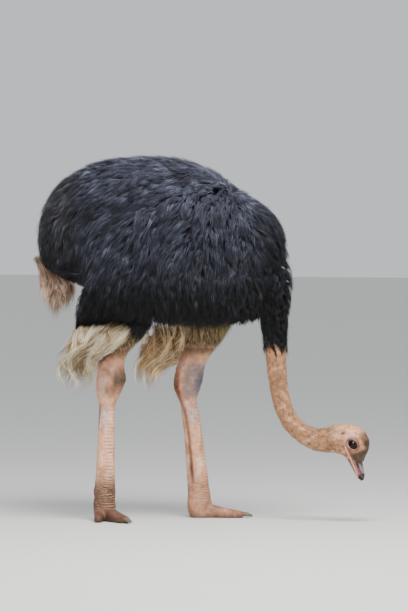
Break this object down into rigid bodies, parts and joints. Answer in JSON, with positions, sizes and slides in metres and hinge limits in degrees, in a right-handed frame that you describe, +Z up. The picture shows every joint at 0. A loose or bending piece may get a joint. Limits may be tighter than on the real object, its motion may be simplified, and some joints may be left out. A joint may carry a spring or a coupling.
{
  "type": "ostrich",
  "caption": "Life-size still figure of a black-feathered male ostrich that stands with its neck lowered and its bill near the ground.",
  "frame": {"origin": "on the floor under the centre of the model's box", "axes": "+Z up, +X the way the bird faces, +Y the bird's left"},
  "size_m": [1.2728, 0.6052, 1.3624],
  "materials": {
    "body_feathers": "loose glossless black feathers over the body, shaggy at the tips",
    "tail_plumes": "tan and brown plumes, worn and stringy at the tips",
    "wing_plumes": "cream wing plumes with brown shadows between the strands",
    "neck_down": "short pinkish tan down over skin",
    "leg_skin": "bare pinkish brown skin with scales, and horny plates down the shank",
    "bill_horn": "smooth horn, pinkish grey with a dark nail at the tip",
    "nail_horn": "worn grey-brown horn",
    "eye": "wet dark brown eyeball"
  },
  "bodies": {
    "root": {"trunk": "body_feathers", "tail": "body_feathers", "neck_base": "body_feathers", "flank_tuft_right": "body_feathers", "wing_right": "body_feathers", "wing_left": "body_feathers", "tail_plumes": "tail_plumes", "wing_plumes_right": "wing_plumes", "wing_plumes_left": "wing_plumes", "neck_lower": "neck_down", "neck_middle": "neck_down", "neck_upper": "neck_down", "head": "neck_down", "bill_upper": "bill_horn", "bill_lower": "bill_horn", "eye_right": "eye", "eye_left": "eye", "thigh_right": "leg_skin", "hock_right": "leg_skin", "shank_right": "leg_skin", "foot_right": "leg_skin", "big_toe_right": "leg_skin", "outer_toe_right": "leg_skin", "nail_right": "nail_horn", "thigh_left": "leg_skin", "hock_left": "leg_skin", "shank_left": "leg_skin", "foot_left": "leg_skin", "big_toe_left": "leg_skin", "outer_toe_left": "leg_skin", "nail_left": "nail_horn"}
  },
  "joints": []
}
